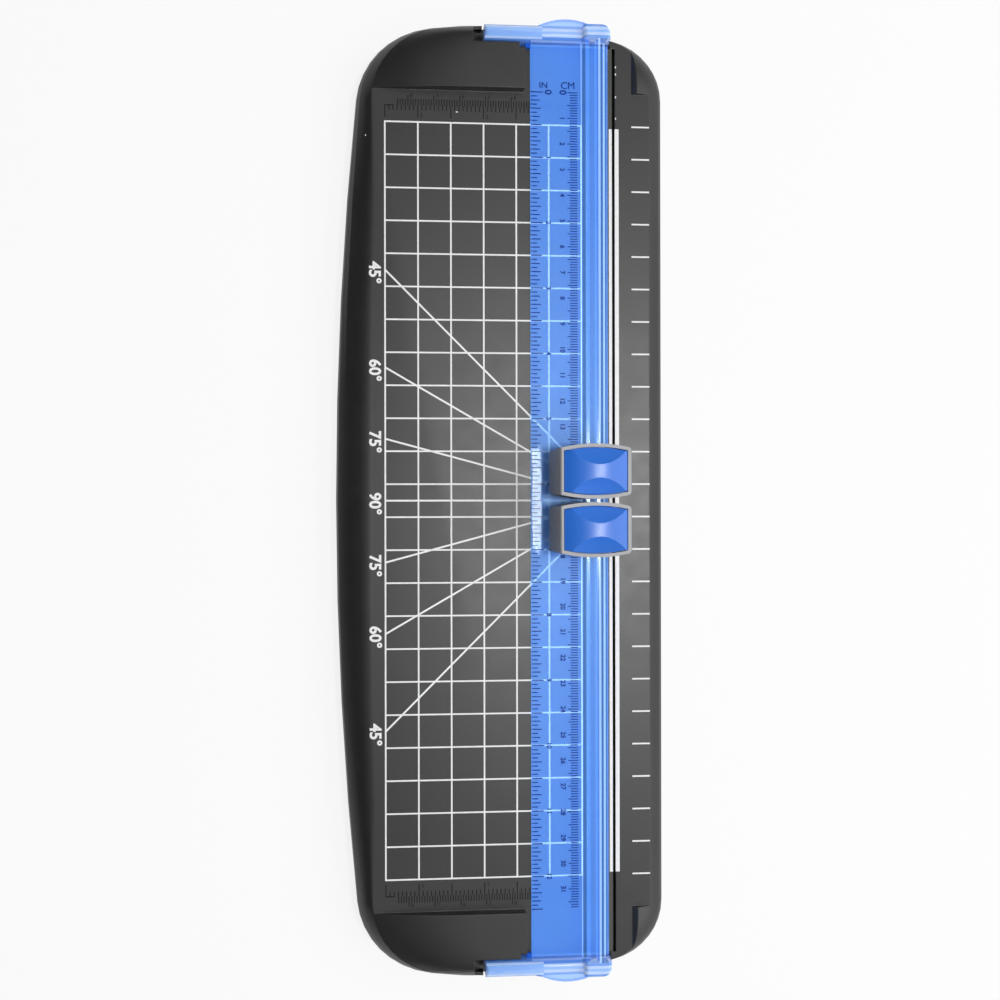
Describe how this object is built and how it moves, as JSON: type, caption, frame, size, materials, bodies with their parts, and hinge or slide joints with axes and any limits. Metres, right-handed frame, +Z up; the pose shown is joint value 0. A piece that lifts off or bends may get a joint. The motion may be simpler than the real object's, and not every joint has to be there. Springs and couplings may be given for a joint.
{
  "type": "paper trimmer",
  "caption": "Flat paper trimmer: ribbed plastic base with fences and a blade slot, a hinged clear blue ruler rail, and sliding sprung cutting and scoring carriages.",
  "frame": {"origin": "middle of the box on the table, under the middle of the bed", "axes": "+X across the deck towards the cut line, +Y along the cut, +Z up"},
  "size_m": [0.128, 0.3714, 0.0422],
  "materials": {
    "base_black": "fine matt texture",
    "strip_black": "smooth matt",
    "rubber_black": "matt",
    "rail_blue": "clear gloss",
    "button_blue": "satin",
    "shell_grey": "satin",
    "shoe_grey": "smooth matt",
    "steel": "bright",
    "blade_steel": "ground"
  },
  "bodies": {
    "base": {"base_shell": "base_black", "cutting_strip": "strip_black", "foot_1": "rubber_black", "foot_2": "rubber_black", "foot_3": "rubber_black", "foot_4": "rubber_black", "foot_5": "rubber_black", "foot_6": "rubber_black", "hinge_pin_rear": "steel", "hinge_pin_front": "steel"},
    "rail": {"ruler_rail": "rail_blue"},
    "cutter_carriage": {"cutter_shell": "shell_grey", "cutter_shoe": "shoe_grey", "cutter_spring": "steel"},
    "cutter_plunger": {"cutter_button": "button_blue", "cutter_blade_holder": "shoe_grey", "cutter_blade": "blade_steel", "cutter_blade_rivet": "steel"},
    "scorer_carriage": {"scorer_shell": "shell_grey", "scorer_shoe": "shoe_grey", "scorer_spring": "steel"},
    "scorer_plunger": {"scorer_button": "button_blue", "scorer_blade_holder": "shoe_grey", "scorer_blade": "blade_steel", "scorer_blade_rivet": "steel"}
  },
  "joints": [
    {"name": "rail_hinge", "type": "hinge", "parent": "base", "child": "rail", "pos_m": [-0.0015, 0, 0.014], "axis": [0, -1, 0], "range_deg": [0, 70]},
    {"name": "cutter_slide", "type": "slide", "parent": "rail", "child": "cutter_carriage", "axis": [0, 1, 0], "range_m": [0, 0.153]},
    {"name": "scorer_slide", "type": "slide", "parent": "rail", "child": "scorer_carriage", "axis": [0, 1, 0], "range_m": [-0.153, 0]},
    {"name": "cutter_press", "type": "slide", "parent": "cutter_carriage", "child": "cutter_plunger", "axis": [0, 0, -1], "range_m": [0, 0.003], "stiffness_N_per_m": 400, "springref_m": -0.004, "deforming": ["cutter_spring"]},
    {"name": "scorer_press", "type": "slide", "parent": "scorer_carriage", "child": "scorer_plunger", "axis": [0, 0, -1], "range_m": [0, 0.003], "stiffness_N_per_m": 400, "springref_m": -0.004, "deforming": ["scorer_spring"]}
  ]
}
